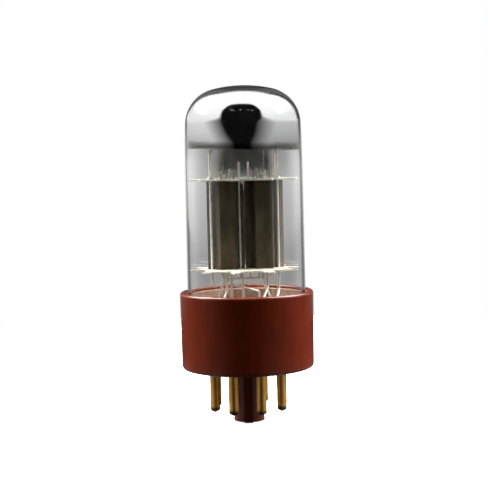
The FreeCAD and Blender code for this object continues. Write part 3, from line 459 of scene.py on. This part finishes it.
def dress(names, mat):
    for name in names:
        obj = NODES[name]
        obj.data.materials.clear()
        obj.data.materials.append(MAT[mat])


dress(["base_shell"], "phenolic")
dress(["basing_cement"], "cement")
dress(["pin_%d" % i for i in range(1, 9)], "gold")
dress(["pin_solder"], "solder")
dress(["glass_stem", "exhaust_tip"], "stem_glass")
dress(["outer_leads"], "copper")
dress(["grid_a_rods", "grid_b_rods"], "grid_rod")
dress(["inner_leads", "heater_jumpers", "grid_a_winding", "grid_b_winding", "getter_stays", "getter_wire"], "nickel_wire")
dress(["rod_a_outer", "rod_a_inner", "rod_b_outer", "rod_b_inner", "rod_locks", "mica_clip", "getter_ring", "getter_strap"], "nickel")
dress(["cathode_a", "cathode_b"], "oxide")
dress(["heater_a", "heater_b"], "alumina")
dress(["mica_top", "mica_bottom"], "mica")
dress(["anode_a_front", "anode_a_back", "anode_b_front", "anode_b_back"], "anode")


# ------------------------------------------------------------------ glass and mirror, turned finely
BULB_R, FOOT_R = 14.2, 14.35
WALL = 0.65
TUCK = 11.9
NECK = cad_high.z / MM - 20.167


def dome(depth):
    """The dome's outline at a depth below the outer surface: (r, z) from the axis to the straight wall."""
    top = cad_high.z / MM
    R1, R2, R3 = 30.65 - depth, 8.74 - depth, 216.6978 - depth
    a1 = math.asin(7.245 / 30.65)
    c1 = (0.0, top - 30.65)
    p1 = (7.245, top - 0.868588)
    c2 = (p1[0] - 8.74 * math.sin(a1), p1[1] - 8.74 * math.cos(a1))
    a2 = math.radians(90 - 2.9786)
    c3 = (BULB_R - 216.6978, top - 20.167)
    pts = []
    for i in range(24):
        t = a1 * i / 24
        pts.append((R1 * math.sin(t), c1[1] + R1 * math.cos(t)))
    for i in range(40):
        t = a1 + (a2 - a1) * i / 40
        pts.append((c2[0] + R2 * math.sin(t), c2[1] + R2 * math.cos(t)))
    b2 = math.radians(2.9786)
    for i in range(25):
        t = b2 * (1 - i / 24)
        pts.append((c3[0] + R3 * math.cos(t), c3[1] + R3 * math.sin(t)))
    return pts


def lathe(name, profile, steps=256, closed=False):
    """A turned surface from (r, z) points in millimetres. A point on the axis becomes one pole vertex."""
    bm = bmesh.new()
    rings = []
    for r, z in profile:
        if r < 1e-6:
            rings.append([bm.verts.new((0, 0, z * MM))])
        else:
            rings.append([bm.verts.new((r * MM * math.cos(2 * math.pi * k / steps), r * MM * math.sin(2 * math.pi * k / steps), z * MM))
                          for k in range(steps)])
    pairs = list(zip(rings, rings[1:])) + ([(rings[-1], rings[0])] if closed else [])
    for a, b in pairs:
        if len(a) == 1 and len(b) == 1:
            continue
        for k in range(steps):
            j = (k + 1) % steps
            if len(a) == 1:
                bm.faces.new((a[0], b[k], b[j]))
            elif len(b) == 1:
                bm.faces.new((a[k], b[0], a[j]))
            else:
                bm.faces.new((a[k], b[k], b[j], a[j]))
    bmesh.ops.recalc_face_normals(bm, faces=bm.faces)
    mesh = bpy.data.meshes.new(name)
    bm.to_mesh(mesh)
    bm.free()
    for p in mesh.polygons:
        p.use_smooth = True
    obj = bpy.data.objects.new(name, mesh)
    scene.collection.objects.link(obj)
    return obj


def arc(cx, cz, r, a0, a1, count):
    return [(cx + r * math.cos(math.radians(a0 + (a1 - a0) * i / count)),
             cz + r * math.sin(math.radians(a0 + (a1 - a0) * i / count))) for i in range(count + 1)]


outer = dome(0.0)
inner = dome(WALL)
low_in = TUCK + 0.3
straight_out = [(BULB_R + (FOOT_R - BULB_R) * i / 30, NECK - (NECK - TUCK) * i / 30) for i in range(1, 31)]
straight_in = [(FOOT_R - WALL - (FOOT_R - BULB_R) * i / 30, low_in + (NECK - low_in) * i / 30) for i in range(31)]
turns = [math.radians(9 * i) for i in range(1, 11)]
turn_out = [(FOOT_R - 2.2 * (1 - math.cos(t)), TUCK - 3.1 * math.sin(t)) for t in turns]
turn_in = [(FOOT_R - WALL - 2.2 * (1 - math.cos(t)), low_in - 2.8 * math.sin(t)) for t in turns[::-1]]
profile = outer + straight_out + turn_out + turn_in + straight_in + inner[::-1][1:]
bulb = lathe("bulb", profile)
bulb.data.materials.append(MAT["glass"])
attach(bulb, "root")
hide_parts("glass_bulb")

film_gap = WALL + 0.02
film_outer = dome(film_gap)
film_foot = 46.0
film_out = film_outer + [(BULB_R - film_gap, NECK - (NECK - film_foot) * i / 6) for i in range(1, 7)]
film_inner = dome(film_gap + 0.1)
film_in = film_inner + [(BULB_R - film_gap - 0.1, NECK - (NECK - film_foot) * i / 6) for i in range(1, 7)]
film = lathe("getter_film", film_out + film_in[::-1], steps=256)
film.data.materials.append(MAT["film"])
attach(film, "root")
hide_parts("getter_mirror")

# ------------------------------------------------------------------ measure the bounds
low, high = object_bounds()
